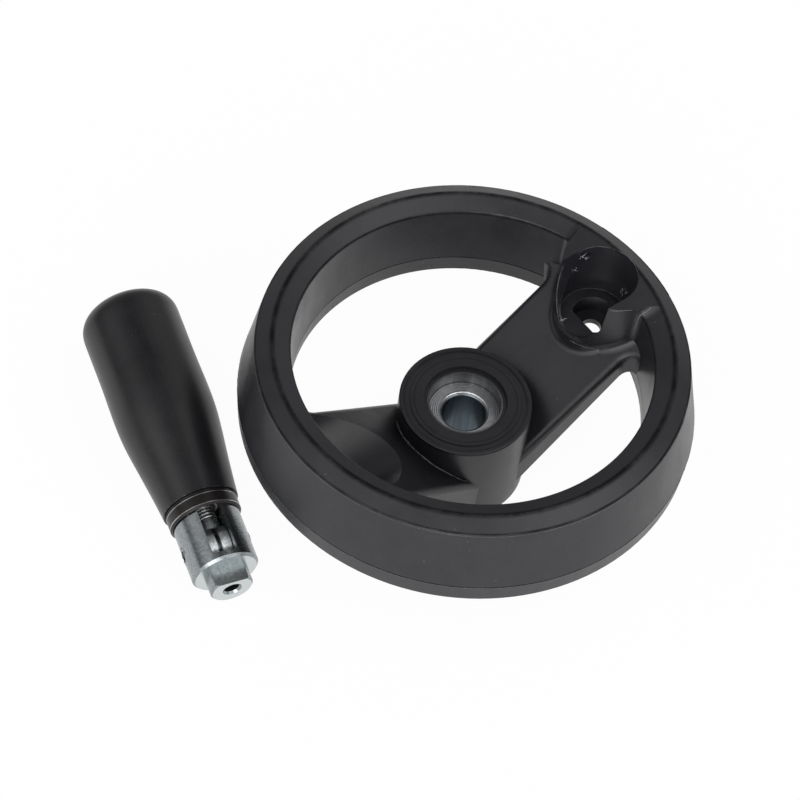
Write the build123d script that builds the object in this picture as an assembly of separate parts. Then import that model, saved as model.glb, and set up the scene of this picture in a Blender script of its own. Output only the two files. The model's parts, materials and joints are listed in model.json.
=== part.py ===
from build123d import *
from math import atan2, cos, degrees, hypot, pi, radians, sin, sqrt
import os

# Dished two-spoke handwheel with a fold-away revolving handle, which is taken off its socket
# and lies beside the wheel. Millimetres. The origin is the centre of the hub's foot, +Z runs up
# the shaft bore, and +X points along the spoke that carries the handle's socket.

# Rim
WHEEL_DIAMETER = 125.0
RIM_WIDTH = 14.4
RIM_HEIGHT = 27.1
RIM_DISH = 26.0  # height of the rim's underside above the hub's foot
RIM_PARTING = 5.7  # height of the mould's parting line above the rim's underside
RIM_DRAFT = 0.3  # how far the outer wall runs in below the parting line
RIM_INNER_FOOT_DRAFT = 0.4  # how far the inner wall runs out below the parting line
RIM_INNER_DRAFT = 0.8  # how far the inner wall runs out above the parting line
RIM_SHOULDER_DROP = 2.5  # the two top edges lie this far below the crest
RIM_SHOULDER_INSET = 3.8  # outer top edge in from the widest line
RIM_CREST_INSET = 8.5  # crest in from the widest line
RIM_TOP_FILLET = 0.7  # of the two edges beside the crest
RIM_FOOT_FILLET = 0.25
RIM_WALL = 3.3
RIM_HOLLOW_DRAFT = 0.6  # how far each side of the hollow runs in towards its top
RIM_RIB_COUNT = 24
RIM_RIB_THICKNESS = 1.6

# Hub and bush
HUB_DIAMETER = 36.6  # at its top
HUB_FOOT_DIAMETER = 37.6
HUB_HEIGHT = 29.2
HUB_RECESS_DIAMETER = 23.0
HUB_TOP_RING_DIAMETER = 30.6
HUB_TOP_BAND = 1.6  # width of the band left around the top's step
HUB_TOP_STEP = 0.35
HUB_TOP_FILLET = 0.4
HUB_FOOT_CHAMFER = 0.2
BUSH_DIAMETER = 20.8
BUSH_HEIGHT = 28.0
BUSH_COUNTERBORE_DIAMETER = 19.8
BUSH_COUNTERBORE_DEPTH = 4.0
BUSH_GROOVE_DEPTH = 0.8
BUSH_GROOVE_WIDTH = 3.0
BUSH_GROOVE_SHARES = (0.3, 0.6)  # of the bush's height
SHAFT_DIAMETER = 12.0
SHAFT_CHAMFER = 0.85
SHAFT_MOUTH_WIDENING = 1.85

# Spokes
SPOKE_WIDTH = 34.4
SPOKE_ROOT_THICKNESS = 9.35  # at the hub, measured straight down
SPOKE_END_THICKNESS = 6.6  # at the rim, measured straight down
SPOKE_ROOT_HEIGHT = 22.2  # top of the slope where it leaves the hub
SPOKE_END_DROP = 12.14  # top of the slope at the rim's inner wall, below the crest
SPOKE_EDGE_RADIUS = 2.05  # of the two long edges on top
WINDOW_CORNER_RADIUS = 3.2
TROUGH_RADIUS = 16.9
TROUGH_WALL = 3.6

# Handle: base, pin and bolt
BASE_DIAMETER = 18.7
BASE_LENGTH = 16.0
BASE_CHAMFER = 0.7
BASE_TOP_CHAMFER = 0.3
PIN_HEIGHT = 8.0  # fold axis above the base's seat
PIN_DIAMETER = 5.0
PIN_WALL = 0.9
PIN_SLOT = 0.9
PIN_INSET = 0.05  # of each end into the base
PIN_CHAMFER = 0.4
SLOT_WIDTH = 6.8
SLOT_FLOOR = 2.2  # above the base's seat
SLOT_BACK = 6.0  # behind the handle's axis
FOOT_DIAMETER = 12.0
FOOT_LENGTH = 5.1
FOOT_FLAT = 4.0  # from the axis
FOOT_CHAMFER = 0.5
FOOT_TAP_DIAMETER = 4.2
FOOT_TAP_CHAMFER = 0.6
EYE_RADIUS = 5.5
EYE_SLIT = 1.2
BOLT_DIAMETER = 6.0
BOLT_COLLAR_DIAMETER = 6.4
BOLT_COLLAR_TOP = 15.1  # above the base's seat
BOLT_COLLAR_LENGTH = 3.1
BOLT_COLLAR_CHAMFER = 0.3
BOLT_END_CHAMFER = 0.6
BOLT_LENGTH = 57.5  # its end above the base's seat

# Handle: sleeve, spring and grip
SLEEVE_DIAMETER = 20.2
SLEEVE_RIM_CHAMFER = 0.7
SLEEVE_RIM_CHAMFER_LENGTH = 0.9
SLEEVE_HEAD_LENGTH = 4.8
SLEEVE_NECK_DIAMETER = 16.4
SLEEVE_NECK_LENGTH = 3.2
SLEEVE_SEAT_THICKNESS = 3.5
TUBE_DIAMETER = 15.0
TUBE_BORE = 12.4
TUBE_LENGTH = 43.7  # from the base's top to the tube's end
CLIP_THICKNESS = 1.2
CLIP_GROOVE_DEPTH = 0.6
CLIP_REACH = 1.1  # past the tube
CLIP_BACK = 2.8  # groove's lower edge below the tube's end
CLIP_OPENING = 3.0
SPRING_WIRE = 1.2
SPRING_OUTER_DIAMETER = 10.4
SPRING_TURNS = 7
SPRING_SPACE = 26.0
WASHER_THICKNESS = 1.0
NUT_ACROSS_FLATS = 10.0
NUT_HEIGHT = 5.0
NUT_CHAMFER = 0.6
GRIP_MOUTH_DIAMETER = 21.3
GRIP_SHOULDER_DIAMETER = 27.6
GRIP_DIAMETER = 27.8
GRIP_LENGTH = 67.8
GRIP_SHOULDER_AT = 26.9  # from the mouth
GRIP_WIDEST_AT = 59.5  # from the mouth
GRIP_NECK = ((0.36, 0.34), (0.68, 0.70))  # shares of the way to the shoulder: along, outwards
GRIP_END_FLATNESS = 2.6  # 2 is an ellipse, more is flatter

# Socket in the rim
SOCKET_INSET = 18.0  # the socket's axis in from the rim's widest line
SOCKET_SEAT_DROP = 17.8  # seat below the rim's crest
SOCKET_MOUTH_DRAFT = 0.5
BOSS_RADIUS = 15.6
BOSS_OFFSET = 6.0
BOSS_FILLET = 2.5  # where the collar and the pad meet the spoke and the rim
PAD_DIAMETER = 22.7
LIP_WIDTH = 0.95
LIP_HEIGHT = 0.6
POCKET_FLOOR_THICKNESS = 1.8
SCREW_HOLE_DIAMETER = 5.4
SCREW_HEAD_DIAMETER = 10.4
SCREW_HEAD_RECESS = 2.2

SEAM_TOLERANCE = 0.02  # for finding the edges to fillet

# Clearances
SOCKET_CLEARANCE = 0.1
POCKET_CLEARANCE = 0.15
PIN_CLEARANCE = 0.05
TUBE_CLEARANCE = 0.05
BOLT_CLEARANCE = 0.1
SEAT_GAP = 0.3  # sleeve's spherical seat to the base's ears
FACE_GAP = 0.2  # sleeve's head to the grip's mouth
CLIP_CLEARANCE = 0.4
GROOVE_CLEARANCE = 0.05  # clip in the tube's groove, each side
SPRING_CLEARANCE = 0.05  # spring's ends to the sleeve and the washer
WASHER_CLEARANCE = 0.3
NECK_CLEARANCE = 0.3  # sleeve's neck in the grip
GRIP_BORE_CLEARANCE = 2.0  # tube's end to the bottom of the grip's bore

# Where the handle lies: its base's seat centre, and its direction seen from above
HANDLE_X = -78.47
HANDLE_Y = 1.18
HANDLE_AZIMUTH = 73.97

# Worked-out radii and heights of the wheel
rim_radius = WHEEL_DIAMETER / 2
rim_inner_radius = rim_radius - RIM_WIDTH
crest_radius = rim_radius - RIM_CREST_INSET
shoulder_radius = rim_radius - RIM_SHOULDER_INSET
rim_crest = RIM_DISH + RIM_HEIGHT
rim_shoulder = rim_crest - RIM_SHOULDER_DROP
parting = RIM_DISH + RIM_PARTING
hub_radius = HUB_DIAMETER / 2
socket_seat = rim_crest - SOCKET_SEAT_DROP
socket_place = rim_radius - SOCKET_INSET
collar_place = socket_place + BOSS_OFFSET
base_radius = BASE_DIAMETER / 2
slope = (rim_crest - SPOKE_END_DROP - SPOKE_ROOT_HEIGHT) / (rim_inner_radius - hub_radius)

# Heights along the handle, from the base's seat
sleeve_base = BASE_LENGTH + FACE_GAP / 2
head_top = sleeve_base + SLEEVE_HEAD_LENGTH
grip_mouth = head_top + FACE_GAP
tube_end = BASE_LENGTH + TUBE_LENGTH
clip_bottom = tube_end - CLIP_BACK
seat_radius = hypot(base_radius, BASE_LENGTH - PIN_HEIGHT) + SEAT_GAP
bolt_hole_radius = BOLT_DIAMETER / 2 + BOLT_CLEARANCE
spring_bottom = PIN_HEIGHT + sqrt(seat_radius**2 - bolt_hole_radius**2) + SLEEVE_SEAT_THICKNESS
washer_bottom = spring_bottom + SPRING_SPACE
nut_bottom = washer_bottom + WASHER_THICKNESS
grip_end = grip_mouth + GRIP_LENGTH
grip_widest_at = grip_mouth + GRIP_WIDEST_AT


def ring_profile(points):
    """Closed outline in the XZ plane, as a face to be turned about Z."""
    return make_face(Plane.XZ * Polyline(*points, close=True))


def turned(points):
    return revolve(ring_profile(points), Axis.Z)


def disc(radius, bottom, top):
    return Pos(0, 0, bottom) * extrude(Circle(radius), top - bottom)


def wheel_envelope():
    """The wheel's outer shape of revolution, filled to the axis."""
    return turned(
        [
            (0, RIM_DISH),
            (rim_radius - RIM_DRAFT, RIM_DISH),
            (rim_radius, parting),
            (shoulder_radius, rim_shoulder),
            (crest_radius, rim_crest),
            (0, rim_crest),
        ]
    )


def rim():
    """Ring with a two-sided top, still solid."""
    inner_edge = rim_inner_radius + RIM_INNER_DRAFT
    ring = turned(
        [
            (rim_inner_radius + RIM_INNER_FOOT_DRAFT, RIM_DISH),
            (rim_radius - RIM_DRAFT, RIM_DISH),
            (rim_radius, parting),
            (shoulder_radius, rim_shoulder),
            (crest_radius, rim_crest),
            (inner_edge, rim_shoulder),
            (rim_inner_radius, parting),
        ]
    )
    levels = ring.edges().filter_by(GeomType.CIRCLE).group_by(Axis.Z)
    ring = fillet(levels[-2], RIM_TOP_FILLET)
    levels = ring.edges().filter_by(GeomType.CIRCLE).group_by(Axis.Z)
    return fillet(levels[0], RIM_FOOT_FILLET)


def rim_hollow():
    """Space that opens the rim from below, between its radial ribs."""
    inner_edge = rim_inner_radius + RIM_INNER_DRAFT
    hollow_top = rim_shoulder - RIM_WALL
    hollow = turned(
        [
            (inner_edge + RIM_WALL, RIM_DISH - 1),
            (rim_radius - RIM_DRAFT - RIM_WALL, RIM_DISH - 1),
            (rim_radius - RIM_WALL, parting),
            (shoulder_radius - RIM_WALL + RIM_HOLLOW_DRAFT, hollow_top),
            (inner_edge + RIM_WALL + RIM_HOLLOW_DRAFT, hollow_top),
        ]
    )
    mid_radius = (rim_inner_radius + rim_radius) / 2
    rib = Pos(mid_radius, 0, RIM_DISH + RIM_HEIGHT / 2) * Box(RIM_WIDTH, RIM_RIB_THICKNESS, RIM_HEIGHT)
    ribs = [Rot(0, 0, (i + 0.5) * 360 / RIM_RIB_COUNT) * rib for i in range(RIM_RIB_COUNT)]
    return hollow - ribs


def sloping_slab(start, end):
    """Plate under the spokes' slope between two distances from the axis, thinning outwards."""
    thinning = (SPOKE_ROOT_THICKNESS - SPOKE_END_THICKNESS) / (rim_inner_radius - hub_radius)
    top_start = SPOKE_ROOT_HEIGHT + slope * (start - hub_radius)
    top_end = SPOKE_ROOT_HEIGHT + slope * (end - hub_radius)
    side = Plane.XZ * Polyline(
        (start, top_start),
        (end, top_end),
        (end, top_end - SPOKE_ROOT_THICKNESS + thinning * (end - hub_radius)),
        (start, top_start - SPOKE_ROOT_THICKNESS + thinning * (start - hub_radius)),
        close=True,
    )
    return extrude(make_face(side), SPOKE_WIDTH, both=True)


def spoke():
    """The sloping plate along +X, thinning outwards, with rounded top edges and filleted corners."""
    reach = rim_inner_radius + RIM_WALL
    half = SPOKE_WIDTH / 2
    strip = Pos(reach / 2, 0) * Rectangle(reach, SPOKE_WIDTH)
    plan = strip + (Circle(reach) - Circle(rim_inner_radius + 0.3))
    corners = plan.vertices().filter_by(
        lambda v: abs(abs(v.Y) - half) < 0.01 and abs(hypot(v.X, v.Y) - rim_inner_radius - 0.3) < 0.01
    )
    plan = fillet(corners, WINDOW_CORNER_RADIUS)
    plan = plan & (Pos(reach / 2, 0) * Rectangle(reach, SPOKE_WIDTH + 6 * WINDOW_CORNER_RADIUS))
    plan = plan & Circle(reach)
    start = hub_radius / 8
    plate = sloping_slab(start, reach + 3) & extrude(plan, rim_crest)
    middle = (SPOKE_ROOT_THICKNESS + SPOKE_END_THICKNESS) / 4
    long_edges = plate.edges().filter_by(
        lambda e: abs(e.center().Y) > half - 1
        and start + 1 < e.center().X
        and e.bounding_box().size.X > 0.5
        and hypot(e.center().X, e.center().Y) < rim_inner_radius
        and e.center().Z > SPOKE_ROOT_HEIGHT + slope * (e.center().X - hub_radius) - middle
    )
    return fillet(long_edges, SPOKE_EDGE_RADIUS)


def folded_grip_space(radius):
    """Round bar about the folded grip's axis, from the hub out to the rim along -X."""
    return Pos(0, 0, socket_seat + PIN_HEIGHT) * Rot(0, -90, 0) * disc(radius, 0, rim_radius)


def trough_spoke():
    """The second spoke: the same plate, sunk under the folded grip by a trough with its own wall."""
    plate = Rot(0, 0, 180) * spoke()
    shell = folded_grip_space(TROUGH_RADIUS + TROUGH_WALL)
    top_end = SPOKE_ROOT_HEIGHT + slope * (rim_radius - hub_radius)
    side = Plane.XZ * Polyline(
        (-hub_radius / 2, SPOKE_ROOT_HEIGHT - slope * hub_radius / 2),
        (-rim_radius, top_end),
        (-rim_radius, 0),
        (-hub_radius / 2, 0),
        close=True,
    )
    under_slope = extrude(make_face(side), SPOKE_WIDTH / 2 - SPOKE_EDGE_RADIUS, both=True)
    body = plate + (shell & under_slope & disc(rim_inner_radius + 2, 0, rim_crest))
    return body - folded_grip_space(TROUGH_RADIUS)


def socket_collar():
    """Collar wall, still solid."""
    return (Pos(collar_place, 0, 0) * disc(BOSS_RADIUS, RIM_DISH, rim_crest)) & wheel_envelope()


def seams(body, place, radius, reach):
    """Bent edges, within reach of the axis, of an upright cylinder on +X with the slope and the rim."""

    def is_seam(edge):
        points = [edge @ share for share in (0, 0.5, 1)]
        on_cylinder = all(abs(hypot(p.X - place, p.Y) - radius) < SEAM_TOLERANCE for p in points)
        middle = points[1]
        above = middle.Z > SPOKE_ROOT_HEIGHT + slope * (middle.X - hub_radius) - SEAM_TOLERANCE
        inside = hypot(middle.X, middle.Y) < reach
        bent = edge.geom_type != GeomType.LINE and edge.bounding_box().size.Z > SEAM_TOLERANCE
        return on_cylinder and above and inside and bent

    return body.edges().filter_by(is_seam)


def socket_pad():
    """Floor pad, still solid, with a filleted foot on the spoke's slope."""
    radius = PAD_DIAMETER / 2
    foot_radius = radius + 1.5 * BOSS_FILLET
    column = Pos(socket_place, 0, 0) * disc(radius, RIM_DISH, rim_crest)
    pad = sloping_slab(socket_place - 2 * radius, socket_place + 2 * radius) + column
    pad = fillet(seams(pad, socket_place, radius, rim_radius), BOSS_FILLET)
    return pad & (Pos(socket_place, 0, 0) * disc(foot_radius, 0, socket_seat + LIP_HEIGHT))


def socket_cut():
    """Round bore with a U-shaped side open to the hub, D-shaped pocket, screw hole and recess."""
    bore_radius = base_radius + SOCKET_CLEARANCE
    depth = rim_crest - socket_seat
    lip_top = socket_seat + LIP_HEIGHT
    mouth_radius = bore_radius + SOCKET_MOUTH_DRAFT
    bore = Pos(0, 0, socket_seat + depth / 2) * Cone(bore_radius, mouth_radius, depth)
    bore += disc(mouth_radius, rim_crest, rim_crest + 1)
    centre = lip_top + bore_radius
    flare = [
        (-bore_radius, centre),
        (bore_radius, centre),
        (mouth_radius, rim_crest),
        (mouth_radius, rim_crest + 1),
        (-mouth_radius, rim_crest + 1),
        (-mouth_radius, rim_crest),
    ]
    side_opening = make_face(Polyline(*flare, close=True)) + Pos(0, centre) * Circle(bore_radius)
    opening = Pos(-SPOKE_WIDTH / 2, 0, 0) * extrude(Plane.YZ * side_opening, SPOKE_WIDTH / 2)
    floor = disc(PAD_DIAMETER / 2 - LIP_WIDTH, socket_seat, lip_top + depth)
    floor &= Pos(0, 0, -LIP_HEIGHT) * opening
    pocket_depth = FOOT_LENGTH + 2 * POCKET_CLEARANCE
    pocket_radius = FOOT_DIAMETER / 2 + POCKET_CLEARANCE
    pocket_flat = FOOT_FLAT + POCKET_CLEARANCE
    pocket = disc(pocket_radius, socket_seat - pocket_depth, socket_seat + 1)
    kept = Pos(-pocket_flat - pocket_radius, 0, socket_seat - pocket_depth)
    pocket -= kept * Box(2 * pocket_radius, 2 * pocket_radius, 4 * pocket_depth)
    hole = disc(SCREW_HOLE_DIAMETER / 2, RIM_DISH - 1, socket_seat)
    head_top_face = socket_seat - pocket_depth - POCKET_FLOOR_THICKNESS
    head = disc(SCREW_HEAD_DIAMETER / 2, RIM_DISH - 1, head_top_face)
    cut = bore + opening + floor + pocket + hole + head
    return Pos(socket_place, 0, 0) * cut


def bush_outline(clear_bore):
    """The bush with its two anchoring grooves; solid through the middle when clear_bore is False."""
    radius = BUSH_DIAMETER / 2
    body = disc(radius, 0, BUSH_HEIGHT)
    for share in BUSH_GROOVE_SHARES:
        middle = share * BUSH_HEIGHT
        outer = disc(radius + 1, middle - BUSH_GROOVE_WIDTH / 2, middle + BUSH_GROOVE_WIDTH / 2)
        body -= outer - disc(radius - BUSH_GROOVE_DEPTH, 0, BUSH_HEIGHT)
    if clear_bore:
        floor = BUSH_HEIGHT - BUSH_COUNTERBORE_DEPTH
        bore = SHAFT_DIAMETER / 2
        mouth = BUSH_COUNTERBORE_DIAMETER / 2
        body -= turned(
            [
                (0, -1),
                (bore + SHAFT_MOUTH_WIDENING, -1),
                (bore, SHAFT_CHAMFER),
                (bore, floor - SHAFT_CHAMFER),
                (bore + SHAFT_CHAMFER, floor),
                (mouth, floor),
                (mouth, BUSH_HEIGHT + 1),
                (0, BUSH_HEIGHT + 1),
            ]
        )
    return body


def hub():
    solid = turned([(0, 0), (HUB_FOOT_DIAMETER / 2, 0), (hub_radius, HUB_HEIGHT), (0, HUB_HEIGHT)])
    solid = fillet(solid.edges().group_by(Axis.Z)[-1], HUB_TOP_FILLET)
    solid = chamfer(solid.edges().group_by(Axis.Z)[0], HUB_FOOT_CHAMFER)
    step = disc(hub_radius - HUB_TOP_BAND, HUB_HEIGHT - HUB_TOP_STEP, HUB_HEIGHT + 1)
    step -= disc(HUB_TOP_RING_DIAMETER / 2, 0, HUB_HEIGHT + 2)
    return solid - step


def wheel_body():
    web = spoke() + trough_spoke() - disc(hub_radius - 1, 0, rim_crest)
    body = rim() + web + hub() + socket_collar()
    body = fillet(seams(body, collar_place, BOSS_RADIUS, crest_radius), BOSS_FILLET)
    body += socket_pad()
    body -= rim_hollow()
    body -= socket_cut()
    body -= disc(HUB_RECESS_DIAMETER / 2, BUSH_HEIGHT, HUB_HEIGHT + 1)
    return body - bush_outline(clear_bore=False)


def handle_base():
    """Round base with a D-shaped foot, slotted between two ears, with a cross hole for the pin."""
    body = disc(base_radius, 0, BASE_LENGTH)
    body = chamfer(body.edges().group_by(Axis.Z)[0], BASE_CHAMFER)
    body = chamfer(body.edges().group_by(Axis.Z)[-1], BASE_TOP_CHAMFER)
    foot = disc(FOOT_DIAMETER / 2, -FOOT_LENGTH, SLOT_FLOOR / 2)
    foot = chamfer(foot.edges().group_by(Axis.Z)[0], FOOT_CHAMFER)
    flat_width = FOOT_DIAMETER - FOOT_FLAT
    flat_cut = Box(flat_width, FOOT_DIAMETER, FOOT_LENGTH)
    foot -= Pos(FOOT_FLAT + flat_width / 2, 0, -FOOT_LENGTH / 2) * flat_cut
    body += foot
    slot_length = SLOT_BACK + base_radius + 1
    slot_height = BASE_LENGTH - SLOT_FLOOR + 1
    slot = Box(slot_length, SLOT_WIDTH, slot_height)
    body -= Pos(slot_length / 2 - SLOT_BACK, 0, SLOT_FLOOR + slot_height / 2) * slot
    body -= Pos(0, 0, PIN_HEIGHT) * Rot(90, 0, 0) * Cylinder(PIN_DIAMETER / 2, 2 * BASE_DIAMETER)
    tap = FOOT_TAP_DIAMETER / 2
    body -= disc(tap, -FOOT_LENGTH - 1, SLOT_FLOOR + 1)
    mouth = tap + FOOT_TAP_CHAMFER
    return body - turned([(0, -FOOT_LENGTH), (mouth, -FOOT_LENGTH), (0, -FOOT_LENGTH + mouth)])


def cross_pin():
    """Rolled spring pin, a little shorter than the base is wide, with its slot to the back."""
    length = BASE_DIAMETER - 2 * PIN_INSET
    pin = Cylinder(PIN_DIAMETER / 2, length)
    pin = chamfer(pin.edges(), PIN_CHAMFER)
    pin -= Cylinder(PIN_DIAMETER / 2 - PIN_WALL, length + 1)
    pin -= Pos(-PIN_DIAMETER / 2, 0, 0) * Box(PIN_DIAMETER, PIN_SLOT, length + 1)
    return Pos(0, 0, PIN_HEIGHT) * Rot(90, 0, 0) * pin


def swing_bolt():
    """Slit eye on the cross pin, collar, and a rod up to the nut."""
    eye = Rot(90, 0, 0) * Cylinder(EYE_RADIUS, BOLT_COLLAR_DIAMETER)
    collar_bottom = BOLT_COLLAR_TOP - BOLT_COLLAR_LENGTH
    neck_top = collar_bottom - PIN_HEIGHT
    eye += Pos(0, 0, neck_top / 2) * Box(BOLT_COLLAR_DIAMETER, BOLT_COLLAR_DIAMETER, neck_top)
    eye -= Rot(90, 0, 0) * Cylinder(PIN_DIAMETER / 2 + PIN_CLEARANCE, 2 * BOLT_COLLAR_DIAMETER)
    eye -= Box(3 * EYE_RADIUS, EYE_SLIT, 2 * neck_top)
    body = Pos(0, 0, PIN_HEIGHT) * eye
    collar = disc(BOLT_COLLAR_DIAMETER / 2, collar_bottom, BOLT_COLLAR_TOP)
    body += chamfer(collar.edges().group_by(Axis.Z)[-1], BOLT_COLLAR_CHAMFER)
    rod = disc(BOLT_DIAMETER / 2, collar_bottom, BOLT_LENGTH)
    return body + chamfer(rod.edges().group_by(Axis.Z)[-1], BOLT_END_CHAMFER)


def lock_sleeve():
    """Cup-shaped head with a spherical seat centred on the fold axis, neck, and tube for the grip."""
    neck_top = head_top + SLEEVE_NECK_LENGTH
    body = disc(SLEEVE_DIAMETER / 2, sleeve_base, head_top)
    rim_edge = body.edges().group_by(Axis.Z)[0]
    body = chamfer(rim_edge, SLEEVE_RIM_CHAMFER, SLEEVE_RIM_CHAMFER_LENGTH)
    body += disc(SLEEVE_NECK_DIAMETER / 2, head_top, neck_top)
    body += disc(TUBE_DIAMETER / 2, neck_top, tube_end)
    body -= Pos(0, 0, PIN_HEIGHT) * Sphere(seat_radius)
    body -= disc(bolt_hole_radius, 0, tube_end)
    body -= disc(TUBE_BORE / 2, spring_bottom, tube_end + 1)
    groove_top = clip_bottom + CLIP_THICKNESS + GROOVE_CLEARANCE
    groove = disc(TUBE_DIAMETER, clip_bottom - GROOVE_CLEARANCE, groove_top)
    return body - (groove - disc(TUBE_DIAMETER / 2 - CLIP_GROOVE_DEPTH, 0, tube_end))


def grip_clip():
    """Snap ring in the tube's groove, open at one side."""
    outer = TUBE_DIAMETER / 2 + CLIP_REACH
    ring = disc(outer, clip_bottom, clip_bottom + CLIP_THICKNESS)
    ring -= disc(TUBE_DIAMETER / 2 - CLIP_GROOVE_DEPTH + GROOVE_CLEARANCE, 0, tube_end)
    return ring - Pos(outer, 0, clip_bottom) * Box(outer, CLIP_OPENING, 4 * CLIP_THICKNESS)


def lock_spring():
    """Compression spring between the sleeve's seat and the washer."""
    coil_radius = (SPRING_OUTER_DIAMETER - SPRING_WIRE) / 2
    height = SPRING_SPACE - SPRING_WIRE - 2 * SPRING_CLEARANCE
    path = Helix(height / SPRING_TURNS, height, coil_radius)
    section = Plane(path @ 0, z_dir=path % 0) * Circle(SPRING_WIRE / 2)
    return Pos(0, 0, spring_bottom + SPRING_WIRE / 2 + SPRING_CLEARANCE) * sweep(section, path)


def spring_washer():
    ring = disc(TUBE_BORE / 2 - WASHER_CLEARANCE, washer_bottom, nut_bottom)
    return ring - disc(bolt_hole_radius, 0, grip_end)


def lock_nut():
    hexagon = RegularPolygon(NUT_ACROSS_FLATS / 2, 6, major_radius=False)
    blank = Pos(0, 0, nut_bottom) * extrude(hexagon, NUT_HEIGHT)
    corner = NUT_ACROSS_FLATS / sqrt(3)
    rounded = chamfer(disc(corner, nut_bottom, nut_bottom + NUT_HEIGHT).edges(), NUT_CHAMFER)
    return (blank & rounded) - disc(BOLT_DIAMETER / 2, 0, grip_end)


def grip_side():
    """The grip's side from its mouth over the shoulder to the widest line."""
    mouth = GRIP_MOUTH_DIAMETER / 2
    shoulder = GRIP_SHOULDER_DIAMETER / 2
    widest = GRIP_DIAMETER / 2
    shoulder_at = grip_mouth + GRIP_SHOULDER_AT
    neck = [
        (mouth + outwards * (shoulder - mouth), 0, grip_mouth + along * GRIP_SHOULDER_AT)
        for along, outwards in GRIP_NECK
    ]
    return Spline(
        (mouth, 0, grip_mouth),
        *neck,
        (shoulder, 0, shoulder_at),
        ((shoulder + widest) / 2, 0, (shoulder_at + grip_widest_at) / 2),
        (widest, 0, grip_widest_at),
        tangents=[(0.1, 0, 1), (0, 0, 1)],
    )


def grip():
    """Revolving grip: tapered neck, nearly straight body and rounded end, bored for the tube."""
    widest = GRIP_DIAMETER / 2
    end_length = grip_end - grip_widest_at
    power = 2 / GRIP_END_FLATNESS
    turns = [pi / 2 * i / 6 for i in range(7)]
    crown = Spline(
        *[(widest * cos(t) ** power, 0, grip_widest_at + end_length * sin(t) ** power) for t in turns],
        tangents=[(0, 0, 1), (-1, 0, 0)],
    )
    mouth = (GRIP_MOUTH_DIAMETER / 2, 0, grip_mouth)
    closing = Polyline((0, 0, grip_end), (0, 0, grip_mouth), mouth)
    body = revolve(make_face([grip_side(), crown, closing]), Axis.Z)
    bore = TUBE_DIAMETER / 2 + TUBE_CLEARANCE
    counterbore = SLEEVE_NECK_DIAMETER / 2 + NECK_CLEARANCE
    body -= disc(bore, grip_mouth - 1, tube_end + GRIP_BORE_CLEARANCE)
    body -= disc(counterbore, grip_mouth - 1, head_top + SLEEVE_NECK_LENGTH + CLIP_CLEARANCE)
    groove_radius = TUBE_DIAMETER / 2 + CLIP_REACH + CLIP_CLEARANCE
    groove_top = clip_bottom + CLIP_THICKNESS + CLIP_CLEARANCE
    return body - disc(groove_radius, clip_bottom - CLIP_CLEARANCE, groove_top)


def rest_tilt():
    """How far the handle's axis rises as it lies on its base's edge and the grip's shoulder."""
    side = grip_side()
    points = [side @ (i / 400) for i in range(401)]
    return max(atan2(p.X - base_radius, p.Z - BASE_CHAMFER) for p in points)


# The handle lies slot upwards.
lie_tilt = rest_tilt()
handle_height = base_radius * cos(lie_tilt) - BASE_CHAMFER * sin(lie_tilt)
azimuth = radians(HANDLE_AZIMUTH)
handle_axis = Vector(cos(lie_tilt) * cos(azimuth), cos(lie_tilt) * sin(azimuth), sin(lie_tilt))
slot_side = Vector(-sin(lie_tilt) * cos(azimuth), -sin(lie_tilt) * sin(azimuth), cos(lie_tilt))
handle_place = Plane((HANDLE_X, HANDLE_Y, handle_height), x_dir=slot_side, z_dir=handle_axis)

wheel_nodes = {
    "wheel_body": wheel_body(),
    "hub_bush": bush_outline(clear_bore=True),
}
handle_nodes = {
    "handle_base": handle_base(),
    "cross_pin": cross_pin(),
    "swing_bolt": swing_bolt(),
    "lock_sleeve": lock_sleeve(),
    "grip_clip": grip_clip(),
    "lock_spring": lock_spring(),
    "spring_washer": spring_washer(),
    "lock_nut": lock_nut(),
    "grip": grip(),
}

os.makedirs("parts", exist_ok=True)
for name, shape in wheel_nodes.items():
    export_step(shape, f"parts/{name}.step")
for name, shape in handle_nodes.items():
    export_step(handle_place.location * shape, f"parts/{name}.step")

pin_centre = handle_place.location * Pos(0, 0, PIN_HEIGHT)
print("fold axis point", pin_centre.position, "direction", handle_place.y_dir)
print("handle axis", handle_axis, "lie tilt", degrees(lie_tilt))
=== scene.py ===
import json
import math
import random

import bmesh
import bpy
from mathutils import Matrix, Vector


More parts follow.
